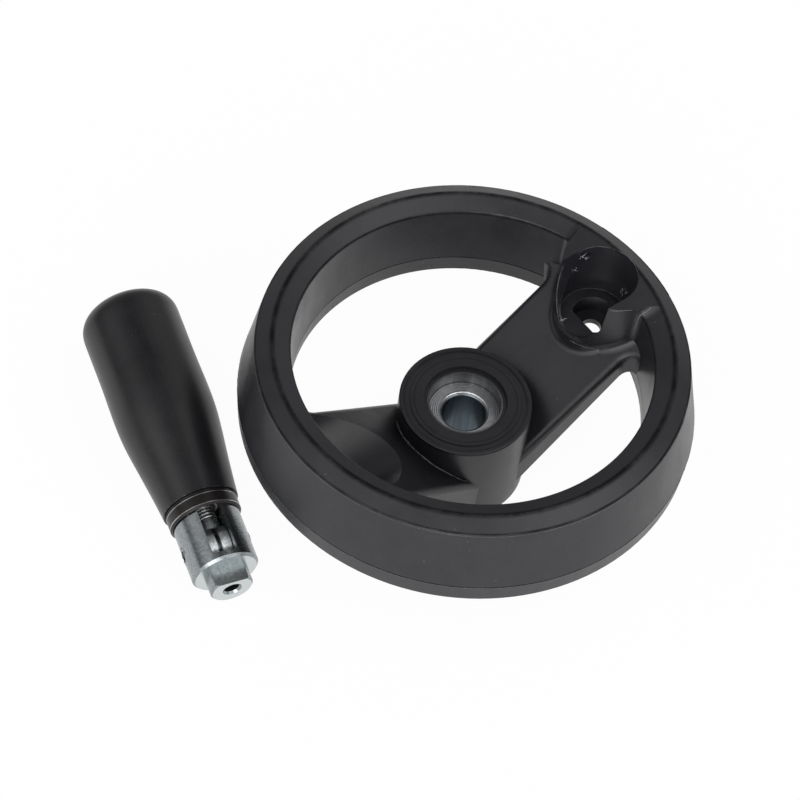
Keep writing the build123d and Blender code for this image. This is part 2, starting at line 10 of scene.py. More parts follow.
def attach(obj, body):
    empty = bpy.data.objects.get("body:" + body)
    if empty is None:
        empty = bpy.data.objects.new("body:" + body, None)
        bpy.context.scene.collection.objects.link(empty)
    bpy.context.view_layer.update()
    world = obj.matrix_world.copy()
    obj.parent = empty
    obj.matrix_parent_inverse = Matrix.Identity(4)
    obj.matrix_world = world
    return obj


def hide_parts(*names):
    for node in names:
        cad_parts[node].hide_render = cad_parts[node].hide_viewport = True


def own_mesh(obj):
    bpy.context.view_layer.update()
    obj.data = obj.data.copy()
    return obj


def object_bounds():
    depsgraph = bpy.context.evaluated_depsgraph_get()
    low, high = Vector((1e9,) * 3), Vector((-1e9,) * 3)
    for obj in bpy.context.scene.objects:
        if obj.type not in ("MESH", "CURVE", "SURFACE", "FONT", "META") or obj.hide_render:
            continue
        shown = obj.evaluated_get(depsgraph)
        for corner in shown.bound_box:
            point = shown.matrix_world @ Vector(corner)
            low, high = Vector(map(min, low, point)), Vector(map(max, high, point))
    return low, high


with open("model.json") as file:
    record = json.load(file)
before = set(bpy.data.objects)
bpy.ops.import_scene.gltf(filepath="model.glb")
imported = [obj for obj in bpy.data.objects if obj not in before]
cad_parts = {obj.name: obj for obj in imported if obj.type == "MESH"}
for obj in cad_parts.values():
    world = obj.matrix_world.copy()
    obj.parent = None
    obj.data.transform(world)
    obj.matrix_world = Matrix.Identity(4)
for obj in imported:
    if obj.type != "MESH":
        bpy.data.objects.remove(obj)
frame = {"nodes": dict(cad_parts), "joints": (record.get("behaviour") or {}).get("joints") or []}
cad_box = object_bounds()
NODES = frame["nodes"]
MM = 0.001

# Sizes and places of the part, in millimetres, which the details below follow
RIM_RADIUS = 62.5
RIM_CREST = 53.1
PARTING_HEIGHT = 31.7
HUB_RADIUS = 18.3
HUB_TOP = 29.2
SOCKET_X = 44.5
SOCKET_SEAT = 35.3
PIN_HEIGHT = 8.0  # from the handle's seat to its cross pin

# The lying handle's own directions and seat, worked out from its joints
JOINTS = {j["name"]: j for j in frame["joints"]}
HANDLE_AXIS = Vector(JOINTS["grip_spin"]["axis"]).normalized()
PIN_AXIS = Vector(JOINTS["handle_fold"]["axis"]).normalized()
SLOT_SIDE = PIN_AXIS.cross(HANDLE_AXIS).normalized()
PIN_CENTRE = Vector(JOINTS["handle_fold"]["pos_m"])
SEAT_CENTRE = PIN_CENTRE - HANDLE_AXIS * PIN_HEIGHT * MM
WHEEL_CENTRE = (0, 0, 0)
WHEEL_AXIS = (0, 0, 1)


def handle_point(along, slot_side=0.0, pin_side=0.0):
    """Point of the handle (m), from mm along its axis from the seat, towards the slot and along the pin."""
    offset = HANDLE_AXIS * along + SLOT_SIDE * slot_side + PIN_AXIS * pin_side
    return SEAT_CENTRE + offset * MM


# ---------------------------------------------------------------- node helpers


class Shader:
    """A material being built: every call adds one node and returns its output socket."""

    def __init__(self, name):
        self.material = bpy.data.materials.new(name)
        self.material.use_nodes = True
        self.tree = self.material.node_tree
        self.tree.nodes.clear()
        self.output = self.tree.nodes.new("ShaderNodeOutputMaterial")
        self.surface = self.tree.nodes.new("ShaderNodeBsdfPrincipled")
        self.tree.links.new(self.surface.outputs[0], self.output.inputs["Surface"])
        coordinates = self.tree.nodes.new("ShaderNodeTexCoord")
        self.position = coordinates.outputs["Object"]
        self.facing = coordinates.outputs["Normal"]

    def feed(self, socket, value):
        if isinstance(value, bpy.types.NodeSocket):
            self.tree.links.new(value, socket)
        else:
            socket.default_value = value

    def set(self, **values):
        for key, value in values.items():
            self.feed(self.surface.inputs[key.replace("_", " ")], value)

    def noise(self, scale, detail=4.0, roughness=0.55, vector=None, distortion=0.0):
        node = self.tree.nodes.new("ShaderNodeTexNoise")
        self.feed(node.inputs["Vector"], vector or self.position)
        self.feed(node.inputs["Scale"], scale)
        self.feed(node.inputs["Detail"], detail)
        self.feed(node.inputs["Roughness"], roughness)
        self.feed(node.inputs["Distortion"], distortion)
        return node.outputs[0]

    def specks(self, scale, size):
        """1 in small separate spots, 0 between them."""
        node = self.tree.nodes.new("ShaderNodeTexVoronoi")
        self.feed(node.inputs["Vector"], self.position)
        self.feed(node.inputs["Scale"], scale)
        return self.ramp(node.outputs["Distance"], (size, 1.0), (size * 1.6, 0.0))

    def ramp(self, value, *stops):
        node = self.tree.nodes.new("ShaderNodeValToRGB")
        self.feed(node.inputs[0], value)
        ramp = node.color_ramp
        while len(ramp.elements) < len(stops):
            ramp.elements.new(0.5)
        for element, (at, level) in zip(ramp.elements, stops):
            element.position = at
            colour = level if isinstance(level, tuple) else (level, level, level)
            element.color = (*colour[:3], 1.0)
        return node.outputs[0]

    def math(self, operation, a, b=0.0):
        node = self.tree.nodes.new("ShaderNodeMath")
        node.operation = operation
        self.feed(node.inputs[0], a)
        self.feed(node.inputs[1], b)
        return node.outputs[0]

    def mix(self, share, a, b):
        """Colour between a and b."""
        node = self.tree.nodes.new("ShaderNodeMix")
        node.data_type = "RGBA"
        self.feed(node.inputs[0], share)
        self.feed(node.inputs[6], a)
        self.feed(node.inputs[7], b)
        return node.outputs[2]

    def vector_math(self, operation, a, b=(0.0, 0.0, 0.0)):
        node = self.tree.nodes.new("ShaderNodeVectorMath")
        node.operation = operation
        self.feed(node.inputs[0], a)
        self.feed(node.inputs[1], b)
        return node.outputs["Value"] if operation in ("DOT_PRODUCT", "LENGTH") else node.outputs[0]

    def stretched(self, scale):
        return self.vector_math("MULTIPLY", self.position, scale)

    def bump(self, height, distance, strength=1.0, normal=None):
        node = self.tree.nodes.new("ShaderNodeBump")
        self.feed(node.inputs["Height"], height)
        self.feed(node.inputs["Distance"], distance)
        self.feed(node.inputs["Strength"], strength)
        if normal is not None:
            self.feed(node.inputs["Normal"], normal)
        return node.outputs[0]

    def along(self, origin, axis):
        """Metres along an axis from an origin."""
        moved = self.vector_math("SUBTRACT", self.position, tuple(origin))
        return self.vector_math("DOT_PRODUCT", moved, tuple(axis))

    def end_faces(self, axis):
        """1 on faces square to an axis, 0 on those along it."""
        square = self.math("ABSOLUTE", self.vector_math("DOT_PRODUCT", self.facing, tuple(axis)))
        return self.ramp(square, (0.80, 0.0), (0.97, 1.0))

    def ring_line(self, radius, height, core, soft):
        """1 on a ring round the wheel's axis (mm) and 0 past its soft width."""
        out = self.math("SUBTRACT", self.away(WHEEL_CENTRE, WHEEL_AXIS), radius * MM)
        rise = self.math("SUBTRACT", self.along(WHEEL_CENTRE, WHEEL_AXIS), height * MM)
        gap = self.math("ADD", self.math("MULTIPLY", out, out), self.math("MULTIPLY", rise, rise))
        gap = self.math("DIVIDE", self.math("SQRT", gap), soft * MM)
        return self.ramp(gap, (core / soft, 1.0), (1.0, 0.0))

    def shade(self, mask):
        """Painted shade: black and matt where the mask is 1."""
        black = self.tree.nodes.new("ShaderNodeBsdfDiffuse")
        black.inputs["Color"].default_value = (0.004, 0.004, 0.005, 1)
        both = self.tree.nodes.new("ShaderNodeMixShader")
        self.feed(both.inputs[0], mask)
        self.tree.links.new(self.surface.outputs[0], both.inputs[1])
        self.tree.links.new(black.outputs[0], both.inputs[2])
        self.tree.links.new(both.outputs[0], self.output.inputs["Surface"])

    def away(self, origin, axis):
        """Metres away from an axis through an origin."""
        moved = self.vector_math("SUBTRACT", self.position, tuple(origin))
        crossed = self.vector_math("CROSS_PRODUCT", moved, tuple(axis))
        return self.vector_math("LENGTH", crossed)


# ---------------------------------------------------------------- materials


def moulded_plastic(name, colour, worn_colour, roughness, grain_depth, dust, gloss=0.5, lines=()):
    """Black moulded plastic: fine grain, cloudy gloss, worn patches, a few pale specks of dust, and black
    matt lines of painted shade along any given rings.
    """
    s = Shader(name)
    cloud = s.noise(70.0, 5.0, 0.6)
    fine = s.noise(1100.0, 3.0, 0.7)
    base = s.mix(s.ramp(cloud, (0.38, 0.0), (0.68, 1.0)), (*colour, 1), (*worn_colour, 1))
    flecks = s.ramp(s.noise(1900.0, 2.0, 0.6), (0.60, 0.0), (0.72, 1.0))
    base = s.mix(s.math("MULTIPLY", flecks, 0.25), base, (0.05, 0.05, 0.053, 1))
    spots = s.math("MULTIPLY", s.specks(420.0, 0.055), s.ramp(s.noise(35.0), (0.54, 0.0), (0.64, 1.0)))
    base = s.mix(s.math("MULTIPLY", spots, dust), base, (0.22, 0.22, 0.23, 1))
    streaks = s.noise(1.0, 5.0, 0.6, vector=s.stretched((260.0, 90.0, 60.0)), distortion=0.6)
    rough = s.math("ADD", s.math("MULTIPLY", cloud, 0.24), roughness - 0.21)
    rough = s.math("ADD", rough, s.math("MULTIPLY", fine, 0.06))
    rough = s.math("ADD", rough, s.math("MULTIPLY", streaks, 0.12))
    grain = s.bump(s.noise(2600.0, 2.0, 0.5), grain_depth)
    waves = s.bump(s.noise(190.0, 4.0, 0.55), grain_depth * 2.5, 0.6, grain)
    skin = s.bump(s.noise(45.0, 3.0, 0.5), grain_depth * 11.0, 0.6, waves)
    s.set(Base_Color=base, Roughness=rough, Normal=skin)
    s.set(Specular_IOR_Level=gloss)
    # Painted shade: black matt lines along the given rings round the wheel.
    if lines:
        broken = s.ramp(s.noise(160.0, 4.0, 0.7), (0.30, 0.45), (0.60, 1.0))
        painted_shade = 0.0
        for radius, height, core, soft, strength in lines:
            line = s.math("MULTIPLY", s.ring_line(radius, height, core, soft), strength)
            painted_shade = s.math("MAXIMUM", painted_shade, s.math("MULTIPLY", line, broken))
        s.shade(painted_shade)
    return s.material


TOOL_RING_PITCH = 0.5 * MM  # the fine rings that turning leaves
TOOL_RING_DEPTH = 0.000005
BUSH_RING_PITCH = 0.55 * MM  # on the bush's floor, across
BUSH_WALL_PITCH = 0.9 * MM  # and up its wall
BUSH_SPAN = 20 * MM  # the bush's bands of painted light and shade are shares of this distance from its axis
BUSH_BORE_SHARE = 0.31


def zinc_steel(name, colour, dull, roughness, ends=None):
    """Zinc-plated steel turned round the handle's axis, cloudy, with paler end faces, a painted highlight
    on the faces square to its axis, if given.
    """
    s = Shader(name)
    cloud = s.noise(1300.0, 6.0, 0.7, distortion=0.5)
    base = s.mix(s.ramp(cloud, (0.40, 0.0), (0.62, 1.0)), (*colour, 1), (*dull, 1))
    scuffs = s.ramp(s.noise(1700.0, 3.0, 0.6), (0.60, 0.0), (0.70, 1.0))
    base = s.mix(s.math("MULTIPLY", scuffs, 0.4), base, (0.07, 0.08, 0.085, 1))
    # Painted light: faces square to the handle's axis get the paler end colour.
    if ends:
        pale = s.mix(s.math("MULTIPLY", scuffs, 0.5), (*ends, 1), (*dull, 1))
        base = s.mix(s.end_faces(HANDLE_AXIS), base, pale)
    rough = s.math("ADD", s.math("MULTIPLY", s.noise(500.0, 4.0), 0.16), roughness - 0.08)
    along = s.math("MULTIPLY", s.along(SEAT_CENTRE, HANDLE_AXIS), 2 * math.pi / TOOL_RING_PITCH)
    out = s.math("MULTIPLY", s.away(SEAT_CENTRE, HANDLE_AXIS), 2 * math.pi / TOOL_RING_PITCH)
    rings = s.math("SINE", s.math("ADD", along, out))
    wobble = s.math("ADD", rings, s.math("MULTIPLY", s.noise(1500.0, 3.0), 2.0))
    s.set(Base_Color=base, Metallic=1.0, Roughness=rough, Normal=s.bump(wobble, TOOL_RING_DEPTH))
    return s.material


def dark_steel(name, bare_highlight_rings):
    """Blackened turned steel, bare and pale in the given rings (first and last mm along the handle's axis):
    a painted highlight on the sleeve's two edges.
    """
    s = Shader(name)
    place = s.along(SEAT_CENTRE, HANDLE_AXIS)
    worn = s.noise(500.0, 4.0, 0.7)
    bare = 0.0
    for start, end in bare_highlight_rings:
        past = s.math("GREATER_THAN", place, start * MM)
        bare = s.math("ADD", bare, s.math("MULTIPLY", past, s.math("LESS_THAN", place, end * MM)))
    bare = s.math("MULTIPLY", bare, s.ramp(worn, (0.30, 0.0), (0.42, 1.0)))
    black = s.mix(worn, (0.004, 0.004, 0.004, 1), (0.014, 0.012, 0.011, 1))
    # Painted highlight: pale bare metal in the given rings at the sleeve's edges.
    base = s.mix(bare, black, (0.66, 0.65, 0.64, 1))
    rings = s.math("SINE", s.math("MULTIPLY", place, 2 * math.pi / (0.45 * MM)))
    rough = s.math("ADD", s.math("MULTIPLY", worn, 0.2), 0.22)
    s.set(Base_Color=base, Metallic=bare, Roughness=rough, Normal=s.bump(rings, 0.00001))
    s.set(Specular_IOR_Level=0.3)
    return s.material


def spring_steel(name):
    """Bare grey spring steel, cloudy and finely pitted."""
    s = Shader(name)
    cloud = s.noise(500.0, 4.0, 0.6)
    base = s.mix(cloud, (0.22, 0.23, 0.25, 1), (0.42, 0.43, 0.45, 1))
    rough = s.math("ADD", s.math("MULTIPLY", cloud, 0.2), 0.25)
    s.set(Base_Color=base, Metallic=1.0, Roughness=rough, Normal=s.bump(s.noise(2500.0), 0.00001))
    return s.material


def bush_steel(name):
    """Plated bush coloured by distance from its axis, with painted light and shade: a dull streaked bore
    painted dim as shade, a painted highlight on the bore's edge, a ringed floor painted pale and a darker
    counterbore wall painted as shade.
    """
    s = Shader(name)
    away = s.away(WHEEL_CENTRE, WHEEL_AXIS)
    radius = s.math("DIVIDE", away, BUSH_SPAN)
    # Painted light and shade: the plated colour is set band by band by distance from the axis.
    painted_light_bands = s.ramp(
        radius,
        (0.300, (0.078, 0.108, 0.130)),  # bore, painted dim as shade
        (0.306, (0.20, 0.22, 0.24)),  # its chamfer
        (0.322, (0.30, 0.31, 0.32)),
        (0.330, (0.86, 0.87, 0.88)),  # painted highlight on the chamfer's edge
        (0.340, (0.52, 0.53, 0.545)),  # floor
        (0.485, (0.47, 0.48, 0.495)),
        (0.494, (0.19, 0.195, 0.20)),  # wall, painted darker as shade
    )
    streaks = s.noise(1.0, 4.0, 0.6, vector=s.stretched((900.0, 900.0, 25.0)))
    base = s.mix(s.ramp(streaks, (0.30, 0.0), (0.72, 1.0)), painted_light_bands, (0.0, 0.0, 0.0, 1))
    base = s.mix(0.65, base, painted_light_bands)
    out = s.math("MULTIPLY", away, 2 * math.pi / BUSH_RING_PITCH)
    along = s.math("MULTIPLY", s.along(WHEEL_CENTRE, WHEEL_AXIS), 2 * math.pi / BUSH_WALL_PITCH)
    rings = s.math("SINE", s.math("ADD", out, along))
    outside = s.math("GREATER_THAN", radius, BUSH_BORE_SHARE)
    wobble = s.math("ADD", s.math("MULTIPLY", rings, outside), s.math("MULTIPLY", streaks, 1.5))
    rough = s.math("ADD", s.math("MULTIPLY", streaks, 0.2), 0.22)
    s.set(Base_Color=base, Metallic=1.0, Roughness=rough, Normal=s.bump(wobble, 0.00002))
    return s.material


def dress(obj, material):
    """Give an object its one material."""
    obj.data.materials.clear()
    obj.data.materials.append(material)


# Black lines round the wheel, mostly painted shade: along the crest and the top edges and under the hub's
# top edge; along the parting line they are partly the mould's seam, partly painted shade; and rings on the
# hub's top. Columns: radius, height, full width, soft width (mm), strength
WHEEL_SEAM_AND_SHADE_LINES = (
    (RIM_RADIUS - 8.5, RIM_CREST, 0.3, 1.2, 0.85),  # crest, painted shade
    (RIM_RADIUS - 3.95, RIM_CREST - 2.35, 0.12, 0.5, 0.85),  # outer top edge, painted shade
    (RIM_RADIUS - 13.7, RIM_CREST - 2.8, 0.15, 0.9, 0.75),  # inner top edge, painted shade
    (RIM_RADIUS, PARTING_HEIGHT + 0.1, 0.08, 0.24, 0.9),  # parting line outside: the mould's seam, partly painted shade
    (RIM_RADIUS - 14.4, PARTING_HEIGHT + 0.05, 0.10, 0.28, 0.9),  # and inside, the same
    (HUB_RADIUS + 0.05, HUB_TOP - 0.5, 0.10, 0.45, 0.8),  # painted shadow under the hub's top edge
    (HUB_RADIUS - 1.3, HUB_TOP - 0.05, 0.05, 0.25, 0.5),  # rings on the hub's top
    (HUB_RADIUS - 4.1, HUB_TOP, 0.05, 0.35, 0.4),
)
WHEEL_PLASTIC = moulded_plastic(
    "wheel_plastic", (0.0098, 0.0096, 0.0128), (0.0150, 0.0147, 0.0185),
    roughness=0.36, grain_depth=0.000030, dust=0.5, lines=WHEEL_SEAM_AND_SHADE_LINES,
)
GRIP_PLASTIC = moulded_plastic(
    "grip_plastic", (0.0075, 0.0073, 0.0088), (0.0110, 0.0107, 0.0125),
    roughness=0.34, grain_depth=0.000016, dust=0.3, gloss=0.42,
)
FLASH_PLASTIC = moulded_plastic(
    "flash_plastic", (0.16, 0.16, 0.165), (0.30, 0.30, 0.31), roughness=0.40, grain_depth=0.000012, dust=0.3
)
BURR_PLASTIC = moulded_plastic(
    "burr_plastic", (0.05, 0.05, 0.053), (0.12, 0.12, 0.125), roughness=0.42, grain_depth=0.000012, dust=0.3
)
# The paler end colour is painted light on faces square to the handle's axis.
HANDLE_ZINC = zinc_steel(
    "handle_zinc", (0.35, 0.375, 0.385), (0.23, 0.25, 0.26), roughness=0.25, ends=(0.60, 0.64, 0.64)
)
# Lighter copies of the handle's zinc for the bolt and its thread, painted light where the slot shades them.
BOLT_ZINC_PAINTED_LIGHT = zinc_steel("bolt_zinc_painted_light", (0.70, 0.73, 0.74), (0.35, 0.38, 0.39), roughness=0.36)
THREAD_ZINC_PAINTED_LIGHT = zinc_steel("thread_zinc_painted_light", (0.96, 0.97, 0.98), (0.85, 0.87, 0.88), roughness=0.40)
BUSH_ZINC_PAINTED_LIGHT = bush_steel("bush_zinc_painted_light")
SLEEVE_STEEL = dark_steel("sleeve_steel", bare_highlight_rings=((16.82, 17.02), (19.85, 20.0)))
SPRING_STEEL = spring_steel("spring_steel")

NODE_LOOKS = {
    "wheel_body": (WHEEL_PLASTIC, "wheel_plastic"),
    "hub_bush": (BUSH_ZINC_PAINTED_LIGHT, "zinc_steel"),
    "handle_base": (HANDLE_ZINC, "zinc_steel"),
    "cross_pin": (SPRING_STEEL, "spring_steel"),
    "swing_bolt": (BOLT_ZINC_PAINTED_LIGHT, "zinc_steel"),
    "lock_sleeve": (SLEEVE_STEEL, "dark_steel"),
    "grip_clip": (SPRING_STEEL, "spring_steel"),
    "lock_spring": (SPRING_STEEL, "spring_steel"),
    "spring_washer": (HANDLE_ZINC, "zinc_steel"),
    "lock_nut": (HANDLE_ZINC, "zinc_steel"),
    "grip": (GRIP_PLASTIC, "grip_plastic"),
}
for node_name, (node_material, node_slot) in NODE_LOOKS.items():
    dress(NODES[node_name], node_material)


# ---------------------------------------------------------------- details the moulds and the tools left

LOW_CORNER, HIGH_CORNER = (Vector(corner) for corner in cad_box)
KEEP_INSIDE = 0.000002
ODD_DIRECTION = Vector((0.13, 0.21, 0.97))  # no bead runs along it
ARC_STEPS = 16
BEAD_STEP = 0.45  # between a bead's rings, in mm
BEAD_SIDES = 6
BEAD_TIP = 0.05  # share of the radius left at an open end
BEAD_TAPER = 3  # rings from the tip to the full radius
TATTER_THREADS = 3  # at each spot
TATTER_BENDS = 5  # in each thread
TATTER_SIDES = 5
TATTER_THICKNESS = 0.07  # share of the tatter's size


def inside_box(point):
    """The point, moved into the part's own box if it sticks out of it."""
    low = (c + KEEP_INSIDE for c in LOW_CORNER)
    high = (c - KEEP_INSIDE for c in HIGH_CORNER)
    return Vector(max(a, min(b, c)) for a, b, c in zip(low, high, point))


def smooth_line(points, step):
    """Points a step apart (mm) along a smooth line through the given points."""
    line = [Vector(p) for p in points]
    ends = [line[0] * 2 - line[1], *line, line[-1] * 2 - line[-2]]
    fine = []
    for a, b, c, d in zip(ends, ends[1:], ends[2:], ends[3:]):
        count = max(1, round((c - b).length / step))
        for k in range(count):
            t = k / count
            bend = (2 * a - 5 * b + 4 * c - d) * t * t + (3 * b - a - 3 * c + d) * t * t * t
            fine.append(b + ((c - a) * t + bend) * 0.5)
    return [*fine, line[-1]]


def rim_ring(radius, height, count=720):
    """Points all round the wheel's axis."""
    turns = (2 * math.pi * k / count for k in range(count))
    return [Vector((radius * math.cos(t), radius * math.sin(t), height)) for t in turns]


def handle_ring(radius, place, count=160):
    """Points (mm) all round the handle's axis, at a place along it."""
    turns = (2 * math.pi * k / count for k in range(count))
    return [handle_point(place, radius * math.cos(t), radius * math.sin(t)) / MM for t in turns]


def arc_line(middle, radius, height, start, end):
    """Level arc round an upright axis at x = middle, from start to end degrees."""
    turns = [math.radians(start + (end - start) * k / ARC_STEPS) for k in range(ARC_STEPS + 1)]
    return [(middle + radius * math.cos(t), radius * math.sin(t), height) for t in turns]


def skin_rows(build, rows, around=True, capped=True):
    """Faces between rows of vertices, all round each row or along it, and over the two ends."""
    sides = len(rows[0])
    for one, two in zip(rows, rows[1:]):
        for n in range(sides if around else sides - 1):
            m = (n + 1) % sides
            build.faces.new((one[n], one[m], two[m], two[n]))
    if capped:
        build.faces.new(rows[0][::-1])
        build.faces.new(rows[-1])


def finish_piece(name, build, body, material, outward=True, smooth=True):
    """Turn what was built into a dressed piece that rides on a body."""
    if outward:
        bmesh.ops.recalc_face_normals(build, faces=build.faces)
    mesh = bpy.data.meshes.new(name)
    build.to_mesh(mesh)
    build.free()
    obj = bpy.data.objects.new(name, mesh)
    bpy.context.scene.collection.objects.link(obj)
    for face in mesh.polygons:
        face.use_smooth = smooth
    dress(obj, material)
    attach(obj, body)
    return obj


def ragged_bead(build, line, radius, raggedness, chance, closed=False, sides=BEAD_SIDES):
    """Thin tube of uneven thickness along a line (mm), tapering to nothing at open ends."""
    rings = []
    for k, point in enumerate(line):
        before = line[k - 1] if k or closed else point
        after = line[(k + 1) % len(line)] if k + 1 < len(line) or closed else point
        way = (after - before).normalized()
        side = way.cross(ODD_DIRECTION).normalized()
        rise = side.cross(way)
        share = 1.0 if closed else min(1.0, min(k, len(line) - 1 - k) / BEAD_TAPER + BEAD_TIP)
        size = radius * share * (1 + raggedness * chance.uniform(-1, 1))
        ring = []
        for n in range(sides):
            turn = 2 * math.pi * n / sides
            spot = point + (side * math.cos(turn) + rise * math.sin(turn)) * size
            ring.append(build.verts.new(inside_box(spot * MM)))
        rings.append(ring)
    skin_rows(build, [*rings, rings[0]] if closed else rings, capped=not closed)


def bead_piece(name, lines, radius, raggedness, body, material, closed=False):
    """One piece of beads along several lines of points (mm)."""
    chance = random.Random(name)
    build = bmesh.new()
    for points in lines:
        line = points if closed else smooth_line(points, BEAD_STEP)
        ragged_bead(build, line, radius, raggedness, chance, closed)
    return finish_piece(name, build, body, material, outward=False)


def tatter_piece(name, spots, size, body, material):
    """Curled shreds of flash: short bent threads, a few at each spot (mm)."""
    chance = random.Random(name)
    build = bmesh.new()
    for spot, heading in spots:
        for _ in range(TATTER_THREADS):
            point = Vector(spot)
            way = Vector(heading).normalized()
            line = [point.copy()]
            for _ in range(TATTER_BENDS):
                way = (way + Vector(chance.uniform(-0.9, 0.9) for _ in range(3))).normalized()
                point = point + way * size * chance.uniform(0.12, 0.3)
                line.append(point.copy())
            ragged_bead(build, line, size * TATTER_THICKNESS, 0.5, chance, sides=TATTER_SIDES)
    return finish_piece(name, build, body, material, outward=False)


def turned_sector(name, section, centre, start, end, steps, body, material):
    """Closed section of (radius, height) in mm swept round an upright axis from start to end degrees."""
    build = bmesh.new()
    rows = []
    for k in range(steps + 1):
        turn = math.radians(start + (end - start) * k / steps)
        across = Vector((math.cos(turn), math.sin(turn), 0))
        row = [build.verts.new((centre + across * r + Vector((0, 0, z))) * MM) for r, z in section]
        rows.append(row)
    skin_rows(build, rows)
    return finish_piece(name, build, body, material, smooth=False)


def helical_thread(name, start, end, root, crest, pitch, body, material):
    """The ridge of a screw thread along the handle's axis (mm from its seat)."""
    build = bmesh.new()
    profile = ((-0.27, root), (-0.10, crest), (0.10, crest), (0.27, root))  # share of the pitch, radius
    per_turn = 40
    run_out = 12  # steps in which the ridge comes up from the root at each end
    count = round((end - start) / pitch * per_turn)
    rows = []
    for k in range(count + 1):
        turn = 2 * math.pi * k / per_turn
        rise = start + (end - start) * k / count
        share = min(1.0, k / run_out, (count - k) / run_out)
        row = []
        for offset, radius in profile:
            reach = root + (radius - root) * share
            spot = handle_point(rise + offset * pitch, reach * math.cos(turn), reach * math.sin(turn))
            row.append(build.verts.new(spot))
        rows.append(row)
    skin_rows(build, rows, around=False, capped=False)
    return finish_piece(name, build, body, material)


def coil_spring(name, start, end, coil_radius, wire, turns, body, material):
    """Round wire wound round the handle's axis between two places along it (mm), capped flat."""
    build = bmesh.new()
    per_turn = 36
    sides = 12
    count = turns * per_turn
    rows = []
    for k in range(count + 1):
        turn = 2 * math.pi * k / per_turn
        rise = start + wire / 2 + (end - start - wire) * k / count
        row = []
        for n in range(sides):
            round_wire = 2 * math.pi * n / sides
            reach = coil_radius + wire / 2 * math.cos(round_wire)
            height = rise + wire / 2 * math.sin(round_wire)
            spot = handle_point(height, reach * math.cos(turn), reach * math.sin(turn))
            row.append(build.verts.new(spot))
        rows.append(row)
    skin_rows(build, rows)
    return finish_piece(name, build, body, material)


# Lines of flash, through points on the wheel's surface (x, y, z in mm)
SEAM_LINE = (  # where the hub meets the spoke with the trough
    (-15.9, 9.6, 20.9), (-17.9, 4.7, 22.0), (-18.5, 1.0, 22.4), (-18.3, -2.3, 22.4),
    (-17.5, -5.9, 21.9), (-16.2, -8.9, 20.9), (-13.8, -12.4, 19.4), (-11.1, -15.6, 17.6),
)
TONGUE_LINE = (  # along the end of the collar's wall and down its edge
    (38.3, -10.7, 52.9), (40.8, -12.35, 52.9), (44.9, -14.4, 52.9), (48.6, -15.3, 52.9),
    (50.1, -15.8, 52.9), (48.4, -16.0, 52.7), (46.7, -15.9, 51.8), (45.4, -15.3, 50.2),
    (45.15, -15.1, 45.7), (44.9, -15.2, 41.5),
)
LIP_LINE = (  # down the other side of the socket's opening and round its pad
    (39.2, 9.85, 51.1), (38.1, 9.5, 45.6), (37.5, 8.7, 40.5), (36.2, 6.4, 37.0),
    (34.6, 2.9, 35.8), (33.6, -0.2, 35.2), (33.7, -3.3, 34.9), (35.3, -6.7, 34.8), (37.8, -9.8, 35.2),
)
MOUTH_LINE = (  # round the collar's mouth
    (43.9, 9.93, 52.3), (46.0, 9.82, 52.8), (48.2, 9.2, 52.98), (49.8, 8.45, 53.0), (52.0, 6.6, 53.0),
    (53.6, 4.1, 53.0), (54.35, 1.2, 53.0), (54.3, -1.6, 53.0), (53.6, -4.0, 53.0), (52.4, -6.1, 53.0),
)
# Part of the rim's outer top edge, and the two edges of the socket's floor
EDGE_LINE = arc_line(0, RIM_RADIUS - 3.57, RIM_CREST - 2.82, 150, 305)
SEAT_LINES = (
    arc_line(SOCKET_X, 9.40, SOCKET_SEAT + 0.02, 125, -35),  # foot of the collar's wall
    arc_line(SOCKET_X, 6.18, SOCKET_SEAT, 150, 10),  # edge of the pocket
)
# Each flash on the wheel: its lines, radius in mm, raggedness and material
WHEEL_FLASH = {
    "rim_edge_flash": ((EDGE_LINE,), 0.06, 0.6, BURR_PLASTIC),
    "socket_seat_lines": (SEAT_LINES, 0.05, 0.4, BURR_PLASTIC),
    "hub_seam_flash": ((SEAM_LINE,), 0.11, 0.6, FLASH_PLASTIC),
    "socket_tongue_flash": ((TONGUE_LINE,), 0.15, 0.45, BURR_PLASTIC),
    "socket_lip_flash": ((LIP_LINE,), 0.12, 0.4, BURR_PLASTIC),
    "socket_mouth_flash": ((MOUTH_LINE,), 0.07, 0.4, BURR_PLASTIC),
}
# Where tatters hang (mm), and which way they point
SOCKET_TATTERS = (
    ((45.1, 9.8, 50.7), (0.3, -0.6, 0.6)), ((46.7, 9.5, 48.6), (0.3, -0.7, 0.3)),
    ((43.1, 9.6, 46.4), (0.0, -1.0, 0.2)), ((52.6, 6.8, 53.0), (0.3, 0.7, 0.0)),
    ((34.8, 3.1, 35.9), (0.2, 0.1, 0.6)), ((54.0, -0.7, 38.9), (-0.7, 0.2, 0.6)),
    ((53.9, -1.6, 39.8), (-0.7, 0.1, 0.7)),
)
SEAM_TATTERS = (
    ((-18.5, 1.0, 22.4), (-0.3, 0.0, 1.0)), ((-17.5, -5.9, 21.9), (-0.2, -0.3, 1.0)),
    ((-15.2, -10.6, 20.2), (-0.2, -0.3, 1.0)), ((-11.3, -15.3, 17.7), (-0.2, -0.3, 1.0)),
)
# Section of the wall that closes the collar towards the rim: mm from the socket's axis, height
WALL_SECTION = (
    (9.47, 34.9), (9.47, 35.27), (9.83, 48.2), (10.4, 48.2), (10.4, 34.6), (6.8, 34.6), (6.8, 35.27),
)
WALL_TURN = 44.0  # degrees to either side of the rim's direction
WALL_STEPS = 24

